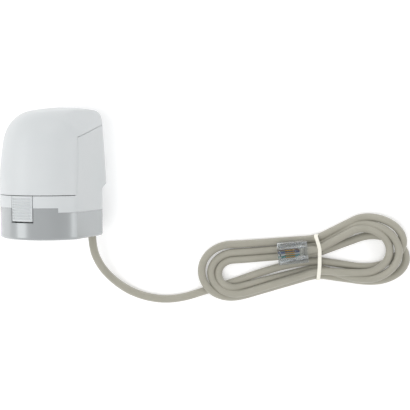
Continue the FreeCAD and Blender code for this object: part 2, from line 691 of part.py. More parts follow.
def tie_core(inset):
    low, high = TIE_Y[0] + inset, TIE_Y[1] - inset
    core = box(TIE_X[0] - 1, TIE_X[1] + 1, low, high, TABLE + inset, TABLE + HANK_H - inset)
    along = [e for e in core.Edges if abs(e.BoundBox.XLength) > 1]
    return core.makeFillet(2.4 - inset, along)


def cable_tie():
    band = tie_core(0).cut(tie_core(TIE_T))
    return band.common(box(TIE_X[0], TIE_X[1], -60, 60, -60, 60))


def cable_bed():
    """Room at the hank's edge, so that the cable's tube meets it face to face."""
    end, before = vec(*ROUTE[-1]), vec(*ROUTE[-2])
    way = end.sub(before).normalize()
    return Part.makeCylinder(CABLE_D / 2 + 2.0, 14.0, end.sub(way * 14.0), way)


PLUG_AT = (107.6, -9.3, TABLE + CABLE_D + 2.6)    # middle of its underside
PLUG_TURN = 6.0
PLUG_ROOM = 0.8          # free space round the plug in the hank


def plug_place(shape):
    """From the plug's own frame (x from its nose to the cable, z up) to where it lies."""
    moved = shape.copy()
    moved.rotate(vec(0, 0, 0), vec(0, 0, 1), PLUG_TURN)
    moved.translate(vec(*PLUG_AT))
    return moved


def plug_bed():
    """The hank is only one cable thick under the plug and its tab."""
    room = box(-PLUG_L / 2 - PLUG_ROOM, PLUG_L / 2 + 3.4, -PLUG_W / 2 - PLUG_ROOM, 12.0, -2.5, 10)
    return plug_place(room)


def plug_body():
    body = box(-PLUG_L / 2, PLUG_L / 2, -PLUG_W / 2, PLUG_W / 2, 0, PLUG_H)
    long_edges = [e for e in body.Edges if e.BoundBox.XLength > 1]
    body = body.makeFillet(0.4, long_edges)
    for k in range(4):
        y = (k - 1.5) * 1.02
        body = body.cut(box(-PLUG_L / 2 + 3.0, -PLUG_L / 2 + 7.6, y - 0.2, y + 0.2, PLUG_H - 2.6, 9))
    body = body.cut(box(PLUG_L / 2 - 3.2, PLUG_L / 2 - 1.4, -3.4, 3.4, PLUG_H - 1.2, 9))
    entry = box(PLUG_L / 2 - 5.0, PLUG_L / 2 + 1, -2.9, 2.9, 1.6, PLUG_H - 1.7)
    return plug_place(body.cut(entry))


def plug_contacts():
    blades = []
    for k in range(4):
        y = (k - 1.5) * 1.02
        blades.append(plug_place(box(-PLUG_L / 2 + 3.2, -PLUG_L / 2 + 7.4, y - 0.16, y + 0.16,
                                     PLUG_H - 2.5, PLUG_H - 0.35)))
    return blades


def plug_wires():
    """The cable's end inside the plug, with its sheath clamped."""
    sheath = box(PLUG_L / 2 - 4.9, PLUG_L / 2 + 0.4, -2.6, 2.6, 1.9, PLUG_H - 2.0)
    return plug_place(sheath)


def plug_tab():
    """The locking tab under the plug, hinged at the nose and standing off towards its tail."""
    nose, tail = -PLUG_L / 2 + 0.6, PLUG_L / 2 + 1.6
    side = [(nose, -0.06), (nose + 0.8, -0.8), (-1.0, -1.5), (-1.0, -1.9), (tail, -2.2),
            (tail, -1.6), (1.2, -1.0)]
    outline = [vec(x, -1.6, z) for x, z in side]
    return plug_place(Part.Face(Part.makePolygon(outline + outline[:1])).extrude(vec(0, 3.2, 0)))


def main():
    os.makedirs("parts", exist_ok=True)
    housing, cover = housing_pieces()
    write("main_housing", housing)
    write("top_cover", cover)
    write("base_ring", base_ring())
    write("release_latch", release_latch())
    write("latch_pin", pin_hole(PIN_R))
    write("latch_spring", latch_spring())
    write("cable_clamp", cable_clamp())
    write("valve_adapter", valve_adapter())
    write("chassis_plate", chassis_plate())
    write("upper_plate", upper_plate())
    write("plate_posts", plate_posts())
    write("plate_screws", plate_screws())
    write("housing_screws", ring_screws(HOUSING_BOSS_DEG, HOUSING_BOSS_TOP - 2.5))
    write("chassis_screws", ring_screws(CHASSIS_BOSS_DEG, CHASSIS_Z[1]))
    write("gear_axles", gear_axles())
    write("third_gear", compound(THIRD_AT, THIRD_Z, (NUT_Z[0] - MESH_OVER, THIRD_Z[0] + 0.2),
                                 LAST_PINION_TEETH, SECOND_AT, AXIS))
    write("second_gear", compound(SECOND_AT, SECOND_Z, (THIRD_Z[0] - 0.2, SECOND_Z[0] + 0.2),
                                  PINION_TEETH, FIRST_AT, THIRD_AT))
    write("first_gear", compound(FIRST_AT, FIRST_Z, (SECOND_Z[0] - 0.2, FIRST_Z[0] + 0.2),
                                 PINION_TEETH, MOTOR_AT, SECOND_AT))
    write("drive_nut", drive_nut())
    write("thrust_washer", tube(SPINDLE_R + 0.4, WASHER_R, UPPER_Z[0] - WASHER_T - RUN_GAP,
                                UPPER_Z[0] - SEAT_GAP))
    write("plunger_spindle", plunger_spindle())
    write("pressure_foot", pressure_foot())
    write("motor_can", motor_can())
    write("motor_rotor", motor_rotor())
    write("motor_terminals", motor_terminals())
    write("circuit_board", circuit_board())
    write("microcontroller", board_piece((1.2, 6.0, 6.0), 0.0, 24.0))
    write("wire_connector", wire_connector())
    write("capacitor", capacitor())
    write("signal_wires", signal_wires())
    write("motor_leads", motor_leads())
    write("cable_tube", routed_tube(ROUTE, CABLE_D), lying=False)
    write("cable_hank", cable_hank(), lying=False)
    write("cable_tie", cable_tie(), lying=False)
    write("plug_body", plug_body(), lying=False)
    write("plug_contacts", plug_contacts(), lying=False)
    write("plug_wires", plug_wires(), lying=False)
    write("plug_tab", plug_tab(), lying=False)


main()
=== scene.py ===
import bpy
import bmesh
import math
import numpy as np
from mathutils import Matrix, Vector


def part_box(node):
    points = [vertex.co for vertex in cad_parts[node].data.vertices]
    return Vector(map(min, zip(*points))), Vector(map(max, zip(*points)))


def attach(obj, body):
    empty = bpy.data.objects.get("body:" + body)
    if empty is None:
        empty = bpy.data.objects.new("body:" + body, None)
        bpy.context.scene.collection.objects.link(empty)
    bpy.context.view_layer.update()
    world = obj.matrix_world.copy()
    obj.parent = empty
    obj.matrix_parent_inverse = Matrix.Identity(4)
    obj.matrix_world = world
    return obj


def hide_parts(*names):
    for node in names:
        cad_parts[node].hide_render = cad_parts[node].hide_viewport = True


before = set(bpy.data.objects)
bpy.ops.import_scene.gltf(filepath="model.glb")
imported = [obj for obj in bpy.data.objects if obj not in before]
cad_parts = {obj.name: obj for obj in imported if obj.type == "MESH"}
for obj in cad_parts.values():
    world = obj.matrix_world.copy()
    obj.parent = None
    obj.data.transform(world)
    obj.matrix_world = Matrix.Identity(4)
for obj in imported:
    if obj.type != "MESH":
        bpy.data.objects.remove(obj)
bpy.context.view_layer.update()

MM = 0.001
scene = bpy.context.scene
scene.view_settings.view_transform = "Standard"

# --- places that the frame gives -------------------------------------------------------------------
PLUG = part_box("plug_body")
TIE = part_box("cable_tie")
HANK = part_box("cable_hank")
TABLE_Z = HANK[0][2]
LEAN = math.radians(23.0)          # how far the latch leans from straight up
CABLE_D = 3.6 * MM


# The body's upright frame, in mm (x to the latch, y to the cable side, z up the valve axis),
# and the way from it to the frame's own axes, in metres.
UPRIGHT = Matrix((
    (-math.sin(LEAN) * MM, math.cos(LEAN) * MM, 0, 0),
    (0, 0, MM, 0),
    (math.cos(LEAN) * MM, math.sin(LEAN) * MM, 0, 0),
    (0, 0, 0, 1),
))


def mm(*values):
    return tuple(v * MM for v in values)


# --- camera and cord first -------------------------------------------------------------------------
CAMERA_AT = (67.3, 33.3, 330.0)    # mm: above the table, looking down on the object
CAMERA_TILT = 3.43                 # degrees towards the valve's mouth
LENS = 66.0


def add_camera():
    data = bpy.data.cameras.new("camera")
    data.lens = LENS
    data.clip_start = 0.01
    data.clip_end = 10
    camera = bpy.data.objects.new("camera", data)
    camera.location = mm(*CAMERA_AT)
    camera.rotation_euler = (math.radians(-CAMERA_TILT), 0, 0)
    scene.collection.objects.link(camera)
    scene.camera = camera


CABLE_LEAD = [
    (15.98, 2.25, -10.0), (15.98, -6.4, -10.0), (19.0, -15.4, -14.6), (24.0, -22.3, -19.2),
    (30.9, -27.9, -21.8), (38.9, -31.2, -22.3), (48.2, -32.6, -22.3), (57.7, -31.5, -22.3),
    (66.5, -28.6, -22.3), (80.4, -24.4, -22.3), (92.4, -20.0, -22.3), (106.0, -16.0, -22.3),
]
LAYER = 3.35                       # how much higher a crossing strand lies, in mm
WAIST_X = 119.9
ARC_STEPS = 9
ARC_SWEEP = 100.0                  # degrees to each side of a lobe's tip


def lobe(side, centre, radii, start, stop, layers):
    """Half a turn of the hank: from the tie, round one elliptical end, and back to the tie.

    side is 1 for the end away from the body and -1 for the end by it. start and stop are the
    cable's places across the tie. layers are heights in cable diameters above the table at even
    steps along the lobe."""
    (cx, cy), (rx, ry) = centre, radii
    first = ARC_SWEEP if start > stop else -ARC_SWEEP
    arc = []
    grow = 1 / math.cos(math.radians(ARC_SWEEP / (ARC_STEPS - 1)))
    for k in range(ARC_STEPS):
        angle = math.radians(first * (1 - 2 * k / (ARC_STEPS - 1)))
        arc.append((cx + side * rx * grow * math.cos(angle), cy + ry * grow * math.sin(angle)))
    way_in = [(WAIST_X, start)]
    way_out = [(WAIST_X, stop)]
    for share in (0.3, 0.66):
        way_in.append(tuple(a + (b - a) * share for a, b in zip(way_in[0], arc[0])))
        way_out.insert(0, tuple(a + (b - a) * share for a, b in zip((WAIST_X, stop), arc[-1])))
    flat = way_in + arc + way_out
    points = []
    for k, (x, y) in enumerate(flat):
        place = k / (len(flat) - 1) * (len(layers) - 1)
        low = min(int(place), len(layers) - 2)
        level = layers[low] + (layers[low + 1] - layers[low]) * (place - low)
        points.append((x, y, TABLE_Z / MM + CABLE_D / MM / 2 + LAYER * level))
    return points


# In the order in which the cable was wound; each lobe starts where the last one passed the tie.
LOBES = [
    (1, (143.4, -5.2), (16.4, 11.8), -13.9, -3.7, (0, 0, 0, 0.1, 1, 0.9, 0.2, 0, 0)),
    (-1, (80.3, -18.8), (14.6, 12.4), -3.7, -20.6, (0, 0, 0, 0, 0.2, 1, 0.3, 0, 0)),
    (1, (145.9, -13.0), (16.2, 10.8), -20.6, -10.6, (0, 0, 0, 0, 0, 0, 0, 0, 0)),
    (-1, (81.2, -20.1), (7.6, 6.4), -10.6, -17.3, (0, 0, 0, 0, 0.1, 1, 0.8, 0, 0)),
    (1, (141.9, -9.5), (15.5, 12.9), -17.3, -7.2, (0, 0.5, 1, 1.3, 1.5, 1.2, 0.5, 0, 0)),
    (-1, (82.3, -19.7), (12.2, 9.6), -7.2, -18.4, (0, 0, 0, 0, 0.1, 1, 1, 1, 1)),
    (1, (140.5, -9.0), (12.9, 10.4), -18.4, -8.4, (1, 1, 1, 1.1, 1.1, 1, 1, 1, 1)),
]


def cable_points():
    points = list(CABLE_LEAD)
    for values in LOBES:
        bent = lobe(*values)
        points += bent[1:] if len(points) > len(CABLE_LEAD) else bent
    return points


def add_cable():
    points = [mm(*p) for p in cable_points()]
    for past_rear, z in CABLE_INTO_PLUG:
        points.append(tuple(plug_point(PLUG_LENGTH / 2 + past_rear, 0, z)))
    curve = bpy.data.curves.new("control_cable", "CURVE")
    curve.dimensions = "3D"
    spline = curve.splines.new("NURBS")
    spline.points.add(len(points) - 1)
    for point, place in zip(spline.points, points):
        point.co = (*place, 1.0)
    spline.order_u = 3
    spline.use_endpoint_u = True
    spline.resolution_u = 12
    curve.bevel_depth = CABLE_D / 2
    curve.bevel_resolution = 8
    curve.use_fill_caps = True
    cable = bpy.data.objects.new("control_cable", curve)
    scene.collection.objects.link(cable)
    return cable


# --- plug --------------------------------------------------------------------------------------------
PLUG_TURN = math.radians(6.0)
PLUG_LENGTH, PLUG_WIDTH, PLUG_HEIGHT = 13.4, 9.65, 6.6
CABLE_INTO_PLUG = ((2.6, 0.4), (-0.6, 3.0), (-3.6, 3.25))   # past the rear, and above the underside


def plug_point(x, y, z):
    """From the plug's own frame in mm (x from nose to cable, z up from its underside)."""
    centre = (Vector(PLUG[0]) + Vector(PLUG[1])) / 2
    turned = Matrix.Rotation(PLUG_TURN, 3, "Z") @ Vector(mm(x, y, 0))
    return Vector((centre.x + turned.x, centre.y + turned.y, PLUG[0][2] + z * MM))


# --- materials ---------------------------------------------------------------------------------------
def material(name, color, roughness, **sockets):
    made = bpy.data.materials.new(name)
    made.use_nodes = True
    shader = made.node_tree.nodes["Principled BSDF"]
    shader.inputs["Base Color"].default_value = (*color, 1)
    shader.inputs["Roughness"].default_value = roughness
    for key, value in sockets.items():
        shader.inputs[key.replace("_", " ")].default_value = value
    return made


def node(made, kind, **values):
    added = made.node_tree.nodes.new(kind)
    for key, value in values.items():
        if key in added.inputs:
            added.inputs[key].default_value = value
        else:
            setattr(added, key, value)
    return added


def link(made, out, into):
    made.node_tree.links.new(out, into)


def grain(made, scale, strength, distance):
    """A fine moulded or brushed grain in the surface's relief."""
    shader = made.node_tree.nodes["Principled BSDF"]
    place = node(made, "ShaderNodeTexCoord")
    noise = node(made, "ShaderNodeTexNoise", Scale=scale, Detail=4.0)
    bump = node(made, "ShaderNodeBump", Strength=strength, Distance=distance)
    link(made, place.outputs["Object"], noise.inputs["Vector"])
    link(made, noise.outputs["Fac"], bump.inputs["Height"])
    link(made, bump.outputs["Normal"], shader.inputs["Normal"])


def mottle(made, color, other, scale, rough):
    """Slow change of colour and of roughness over the surface."""
    shader = made.node_tree.nodes["Principled BSDF"]
    place = node(made, "ShaderNodeTexCoord")
    noise = node(made, "ShaderNodeTexNoise", Scale=scale, Detail=3.0)
    ramp = node(made, "ShaderNodeValToRGB")
    ramp.color_ramp.elements[0].position = 0.35
    ramp.color_ramp.elements[1].position = 0.65
    ramp.color_ramp.elements[0].color = (*color, 1)
    ramp.color_ramp.elements[1].color = (*other, 1)
    link(made, place.outputs["Object"], noise.inputs["Vector"])
    link(made, noise.outputs["Fac"], ramp.inputs["Fac"])
    link(made, ramp.outputs["Color"], shader.inputs["Base Color"])
    spread = node(made, "ShaderNodeMapRange")
    spread.inputs["To Min"].default_value = rough[0]
    spread.inputs["To Max"].default_value = rough[1]
    link(made, noise.outputs["Fac"], spread.inputs["Value"])
    link(made, spread.outputs["Result"], shader.inputs["Roughness"])


def housing_material():
    made = material("white_moulded", (0.62, 0.645, 0.65), 0.36)
    mottle(made, (0.595, 0.62, 0.627), (0.61, 0.632, 0.638), 60, (0.33, 0.40))
    grain(made, 2600, 0.12, 0.00012)
    return made


def ring_material():
    made = material("grey_polished", (0.42, 0.44, 0.445), 0.22, Metallic=0.4, Coat_Weight=0.2,
                    Coat_Roughness=0.08)
    mottle(made, (0.415, 0.435, 0.44), (0.43, 0.45, 0.455), 50, (0.19, 0.26))
    grain(made, 900, 0.03, 0.0001)
    return made


def cable_material():
    made = material("cable_sheath", (0.37, 0.355, 0.295), 0.36, Sheen_Weight=0.1)
    mottle(made, (0.36, 0.347, 0.288), (0.385, 0.37, 0.31), 120, (0.32, 0.42))
    grain(made, 1800, 0.2, 0.00015)
    return made


def plastic(name, color, roughness):
    made = material(name, color, roughness)
    darker = tuple(c * 0.94 for c in color)
    mottle(made, darker, color, 90, (roughness * 0.9, min(1.0, roughness * 1.12)))
    grain(made, 1500, 0.12, 0.0001)
    return made


def metal(name, color, roughness):
    made = material(name, color, roughness, Metallic=1.0)
    darker = tuple(c * 0.88 for c in color)
    mottle(made, darker, color, 160, (roughness * 0.8, roughness * 1.25))
    grain(made, 1400, 0.1, 0.00008)
    return made


def clear_material():
    made = material("clear_plug", (0.86, 0.9, 0.93), 0.05, Transmission_Weight=0.95, IOR=1.58)
    mottle(made, (0.8, 0.85, 0.89), (0.9, 0.93, 0.95), 300, (0.02, 0.09))
    grain(made, 500, 0.08, 0.0001)
    return made


def give(name, made):
    """Puts a material on every slot of a CAD node's object."""
    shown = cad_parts[name]
    shown = bpy.data.objects[shown] if isinstance(shown, str) else shown
    shown.data.materials.clear()
    shown.data.materials.append(made)
    return shown


# --- housing -----------------------------------------------------------------------------------------
BODY_R, FLAT_Y, TOP_Z = 22.1, 19.5, 56.7
CREASE_X = math.sqrt(BODY_R ** 2 - FLAT_Y ** 2)
SEAM_LOW, SEAM_HIGH, SEAM_STEP = 11.52, 13.42, 41.0
GROOVE_Z, GAP, CREASE_GAP, FACET_GAP = 18.7, 0.3, 0.08, 0.15
FACET_Z, FACET_RISE, FACET_SLOPE = 42.1, 0.315, 1.4
LATCH_HALF, LATCH_R, LATCH_LOW = 13.3, 22.2, 7.8
SHELL_WALL = 1.8
DOME_R, DOME_X = 80.0, -12.0
CREASE_LEAN = 0.105                # the parting along the crease leans back
FLAT_ROUND, FACET_ROUND = 0.9, 0.6
TOP_ROUND, TOP_ROUND_MORE = 3.2, 5.6   # at the back, and how much more at the front
LATCH_GAP_DEG = 0.9


def smooth_max(a, b, k):
    """The larger of two distances, with their corner rounded over about k."""
    reach = np.maximum(k - np.abs(a - b), 0) / k
    return np.maximum(a, b) + reach * reach * k / 4


def housing_distance(x, y, z):
    """Below zero inside the white housing's outer form, above zero outside it."""
    lean = np.interp(z, (24, 28, 32, 36, 40, 44, 48, 60), (0, 0.2, 0.5, 0.96, 1.55, 2.25, 3.05, 5.6))
    bump = np.interp(z, (20.9, 22.9, 49, 60), (0.0, 2.0, 0.2, -0.6))
    back = 1 / (1 + np.exp(x / 0.35))
    front = 1 / (1 + np.exp(-(x + 1.0) / 2.5))
    side = np.hypot(x, y) - (BODY_R - lean * (1 - back) + bump * back)
    dome = np.sqrt((x - DOME_X) ** 2 + y ** 2 + (z - TOP_Z + DOME_R) ** 2) - DOME_R
    form = smooth_max(side, dome, TOP_ROUND + TOP_ROUND_MORE * front)
    form = smooth_max(form, y - FLAT_Y, FLAT_ROUND)
    form = smooth_max(form, -y - FLAT_Y, FLAT_ROUND)
    steep = math.sqrt(1 + FACET_RISE ** 2 + FACET_SLOPE ** 2)
    near = z - FACET_Z - (CREASE_X - x) * FACET_RISE - (FLAT_Y - y) * FACET_SLOPE
    far = z - FACET_Z - (CREASE_X - x) * FACET_RISE - (FLAT_Y + y) * FACET_SLOPE
    form = smooth_max(form, near / steep, FACET_ROUND)
    return smooth_max(form, far / steep, FACET_ROUND)


def housing_skin():
    """The outer skin from the lower seam to the top, as points found along rays from the axis."""
    turns, rows = 480, []
    knee = 44.0
    for z in np.arange(SEAM_LOW, knee, 0.4):
        rows.append((z, 0.0))
    for tip in np.linspace(0, 89.0, 62):
        rows.append((knee, math.radians(tip)))
    around = np.arange(turns) * 2 * math.pi / turns
    rise = np.array([math.sin(tip) for _, tip in rows])[:, None]
    flat = np.array([math.cos(tip) for _, tip in rows])[:, None]
    start = np.array([z for z, _ in rows])[:, None]
    low, high = np.full((len(rows), turns), 4.0), np.full((len(rows), turns), 40.0)
    for _ in range(26):
        middle = (low + high) / 2
        far = middle * flat
        inside = housing_distance(far * np.cos(around), far * np.sin(around), start + middle * rise) < 0
        low, high = np.where(inside, middle, low), np.where(inside, high, middle)
    far = low * flat
    places = np.stack((far * np.cos(around), far * np.sin(around), start + low * rise), 2)
    mesh = bmesh.new()
    grid = [[mesh.verts.new(place) for place in row] for row in places]
    for below, above in zip(grid, grid[1:]):
        for k in range(turns):
            after = (k + 1) % turns
            mesh.faces.new((below[k], below[after], above[after], above[k]))
    mesh.faces.new(grid[-1])
    return mesh


def cut_along(mesh, point, normal):
    whole = mesh.verts[:] + mesh.edges[:] + mesh.faces[:]
    bmesh.ops.bisect_plane(mesh, geom=whole, dist=1e-5, plane_co=point, plane_no=normal)


def is_cover(point, gap, crease_gap, facet_gap):
    """Whether a place is in the top cover, or with gaps in the cover and the gap round it."""
    if point.x > CREASE_X - crease_gap - (point.z - GROOVE_Z) * CREASE_LEAN:
        return point.z > GROOVE_Z - gap
    return point.z > FACET_Z - facet_gap + (CREASE_X - point.x) * FACET_RISE


def is_cut_away(point):
    """Below the stepped seam with the ring, and where the latch is."""
    angle = abs(math.degrees(math.atan2(point.y, point.x)))
    if angle < LATCH_HALF + LATCH_GAP_DEG:
        return point.z < GROOVE_Z
    return angle < SEAM_STEP and point.z < SEAM_HIGH


def add_housing(made):
    skin = housing_skin()
    rise = Vector((FACET_RISE, 0, 1)).normalized()
    across = Vector((1, 0, CREASE_LEAN)).normalized()
    for gap, crease_gap, facet_gap in ((0, 0, 0), (GAP, CREASE_GAP, FACET_GAP)):
        cut_along(skin, (0, 0, GROOVE_Z - gap), (0, 0, 1))
        cut_along(skin, (CREASE_X - crease_gap, 0, GROOVE_Z), across)
        cut_along(skin, (CREASE_X, 0, FACET_Z - facet_gap), rise)
    cut_along(skin, (0, 0, SEAM_HIGH), (0, 0, 1))
    for degrees in (SEAM_STEP, -SEAM_STEP, LATCH_HALF + LATCH_GAP_DEG, -LATCH_HALF - LATCH_GAP_DEG):
        turn = math.radians(degrees)
        cut_along(skin, (0, 0, 0), (-math.sin(turn), math.cos(turn), 0))
    for name in ("top_cover", "main_housing"):
        part = skin.copy()
        gone = []
        for face in part.faces:
            centre = face.calc_center_median()
            if name == "top_cover":
                keep = is_cover(centre, 0, 0, 0)
            else:
                keep = not is_cover(centre, GAP, CREASE_GAP, FACET_GAP) and not is_cut_away(centre)
            if not keep:
                gone.append(face)
        bmesh.ops.delete(part, geom=gone, context="FACES")
        bmesh.ops.transform(part, matrix=UPRIGHT, verts=part.verts)
        shell = add_mesh(name + "_shell", part, made, "housing")
        wall = shell.modifiers.new("wall", "SOLIDIFY")
        wall.thickness = SHELL_WALL * MM
        wall.offset = -1.0
        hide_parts(name)
    skin.free()


def swept(rings, closed_along=False):
    """A skin through rings of places, each ring with the same number of places."""
    mesh = bmesh.new()
    grid = [[mesh.verts.new(place) for place in ring] for ring in rings]
    rows = list(zip(grid, grid[1:])) + ([(grid[-1], grid[0])] if closed_along else [])
    for ring, after in rows:
        for k in range(len(ring)):
            n = (k + 1) % len(ring)
            mesh.faces.new((ring[k], ring[n], after[n], after[k]))
    if not closed_along:
        mesh.faces.new(grid[0][::-1])
        mesh.faces.new(grid[-1])
    bmesh.ops.recalc_face_normals(mesh, faces=mesh.faces)
    return mesh


# --- latch -------------------------------------------------------------------------------------------
LATCH_TOP = GROOVE_Z - GAP
RIBS, RIB_DEPTH, LATCH_THICK = 8, 0.5, 2.5
PIN_X, PIN_Z, BARREL_R, BARREL_HALF = 18.2, 14.4, 1.45, 5.0


def latch_radius(z, side):
    """The ribbed face: soft waves inside a plain rim. side is 0 in the middle and 1 at the edge."""
    pitch = (LATCH_TOP - LATCH_LOW - 1.4) / RIBS
    place = (z - LATCH_LOW - 0.7) / pitch
    within = 0 < place < RIBS and side < 0.86
    wave = 0.5 - 0.5 * math.cos(2 * math.pi * place) if within else 0.0
    edge = min(z - LATCH_LOW, LATCH_TOP - z, (1 - side) * LATCH_HALF * 0.38, 0.5)
    return LATCH_R - RIB_DEPTH * wave ** 0.8 - (0.5 - edge) ** 2 * 1.2


def add_latch(made):
    rings, rows, columns = [], 100, 36
    for k in range(columns + 1):
        share = 2 * k / columns - 1
        turn = math.radians(LATCH_HALF * share)
        outer, inner = [], []
        for n in range(rows + 1):
            z = LATCH_LOW + (LATCH_TOP - LATCH_LOW) * n / rows
            r = latch_radius(z, abs(share))
            outer.append((r * math.cos(turn), r * math.sin(turn), z))
            r = LATCH_R - LATCH_THICK
            inner.append((r * math.cos(turn), r * math.sin(turn), z))
        rings.append(outer + inner[::-1])
    mesh = swept(rings)
    barrel = []
    for k in range(13):
        y = BARREL_HALF * (k / 6 - 1)
        r = BARREL_R - (0.25 if k in (0, 12) else 0.0)
        ring = [math.radians(15 * n) for n in range(24)]
        barrel.append([(PIN_X + r * math.cos(a), y, PIN_Z + r * math.sin(a)) for a in ring])
    add_to(mesh, swept(barrel))
    arm = []
    low, high = PIN_Z - 1.1, PIN_Z + 1.1
    for x in (PIN_X + 1.0, PIN_X + 1.6, LATCH_R - LATCH_THICK + 0.6):
        arm.append([(x, -4, low), (x, 4, low), (x, 4, high), (x, -4, high)])
    add_to(mesh, swept(arm))
    bmesh.ops.transform(mesh, matrix=UPRIGHT, verts=mesh.verts)
    bmesh.ops.recalc_face_normals(mesh, faces=mesh.faces)
    latch = add_mesh("latch_lever", mesh, made, "latch")
    sharpen(latch, 40)
    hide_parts("release_latch")


def add_to(mesh, other):
    """Adds another bmesh's geometry to the first, and frees it."""
    data = bpy.data.meshes.new("part")
    other.to_mesh(data)
    other.free()
    mesh.from_mesh(data)
    bpy.data.meshes.remove(data)


def sharpen(piece, degrees):
    """Smooth shading, with the edges over an angle kept sharp."""
    piece.data.set_sharp_from_angle(angle=math.radians(degrees))


# --- valve adapter -----------------------------------------------------------------------------------
THREAD_R, THREAD_DEEP, THREAD_PITCH = 14.2, 0.8, 1.5
ADAPTER_R, ADAPTER_H = 16.4, 9.0


def thread_radius(turn, z):
    """The inner thread's wall: a 60 degree profile that climbs one pitch in each turn."""
    place = (z / THREAD_PITCH - turn / (2 * math.pi)) % 1.0
    tooth = min(1.0, max(0.0, 1.5 * (1 - abs(2 * place - 1)) - 0.2))
    lead = min(1.0, max(0.0, z / 1.2), max(0.0, (ADAPTER_H - z) / 1.0))
    return THREAD_R + THREAD_DEEP * (1 - tooth * lead)


def adapter_radius(turn, z):
    """The outer wall with its groove, and a row of gripping scallops round the mouth."""
    if 4.2 < z < 6.0:
        return ADAPTER_R - 0.5
    near = (turn / (math.pi / 6) + 0.5) % 1.0 - 0.5
    across = abs(near) * math.pi / 6 * ADAPTER_R
    if z < 3.4 and across < 0.55:
        return ADAPTER_R - math.sqrt(0.36 - across ** 2) + 0.2
    return ADAPTER_R


def add_adapter(made):
    turns, rows, rings = 240, 90, []
    heights = [ADAPTER_H * n / rows for n in range(rows + 1)]
    heights[0] = 0.02
    walls = (3.38, 3.42, 4.18, 4.22, 5.98, 6.02)
    outside = [heights[0], *walls, heights[-1]]
    for k in range(turns):
        turn = 2 * math.pi * k / turns
        ring = []
        for z in heights:
            r = thread_radius(turn, z)
            ring.append((r * math.cos(turn), r * math.sin(turn), z))
        for z in outside[::-1]:
            r = adapter_radius(turn, z)
            ring.append((r * math.cos(turn), r * math.sin(turn), z))
        rings.append(ring)
    mesh = swept(rings, closed_along=True)
    bmesh.ops.transform(mesh, matrix=UPRIGHT, verts=mesh.verts)
    bmesh.ops.recalc_face_normals(mesh, faces=mesh.faces)
    adapter = add_mesh("threaded_adapter", mesh, made, "housing")
    sharpen(adapter, 35)
    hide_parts("valve_adapter")


# --- plug --------------------------------------------------------------------------------------------
CONTACT_PITCH = 1.02
CORE_R = 0.42
# Along the plug, how far the cores have fanned out, and the height.
CORE_PATH = ((3.4, 0.55, 3.2), (2.6, 0.7, 3.2), (1.6, 1.0, 3.0), (0.8, 1.0, 2.9), (-5.4, 1.0, 2.9))


def plug_top(x, y):
    """The height of the plug's upper face: ribs at the nose, contact slots, and the clamp's recess."""
    half_x, half_y = PLUG_LENGTH / 2, PLUG_WIDTH / 2
    edge = min(half_x - abs(x), half_y - abs(y), 0.5)
    z = PLUG_HEIGHT - (0.5 - edge) ** 2 * 1.6
    slot = abs((y / CONTACT_PITCH + 1.0) % 1.0 - 0.5) * CONTACT_PITCH
    if 3.0 < x + half_x < 7.6 and slot < 0.22 and abs(y) < 2 * CONTACT_PITCH:
        return z - 2.3
    if 0.6 < x + half_x < 7.9 and slot < 0.28 and abs(y) < 3.4:
        return z - 0.55
    if 1.4 < half_x - x < 3.2 and abs(y) < 3.4:
        return z - 0.35 - 0.45 * (3.2 - half_x + x)
    return z


def plug_side(x, y):
    """The underside, with its long shallow slot over the locking tab's root."""
    hollow = abs(y) < 2.2 and x + PLUG_LENGTH / 2 > 2.4
    return 0.5 if hollow else 0.03


def add_plug(made):
    rings, steps, columns = [], 134, 96
    for k in range(steps + 1):
        x = PLUG_LENGTH * (k / steps - 0.5)
        inset = 0.12 if k in (0, steps) else 0.0
        across = [(PLUG_WIDTH - 2 * inset) * (n / columns - 0.5) for n in range(columns + 1)]
        ring = [plug_point(x, y, plug_top(x, y) - inset) for y in across]
        ring += [plug_point(x, y, plug_side(x, y) + inset) for y in across[::-1]]
        rings.append(ring)
    body = add_mesh("plug_shell", swept(rings), made, "housing")
    sharpen(body, 30)
    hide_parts("plug_body")


def add_cores(colors):
    """The cable's four cores, fanned out from the sheath's end to the contacts."""
    mesh, ends = None, []
    for k in range(len(colors)):
        y = (k - 1.5) * CONTACT_PITCH
        rings = []
        for x, spread, z in CORE_PATH:
            middle = y * spread
            ring = [math.radians(36 * n) for n in range(10)]
            rings.append([
                plug_point(x, middle + CORE_R * math.cos(a), z + CORE_R * math.sin(a)) for a in ring
            ])
        core = swept(rings)
        if mesh is None:
            mesh = core
        else:
            add_to(mesh, core)
        ends.append(len(mesh.faces))
    cores = add_mesh("plug_cores", mesh, colors[0], "housing")
    for made in colors[1:]:
        cores.data.materials.append(made)
    for face in cores.data.polygons:
        face.material_index = sum(face.index >= end for end in ends)
    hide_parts("plug_wires")


# --- tie ---------------------------------------------------------------------------------------------
TIE_WIDE, TIE_THICK = 0.9, 0.34     # half sizes of the band's section, mm


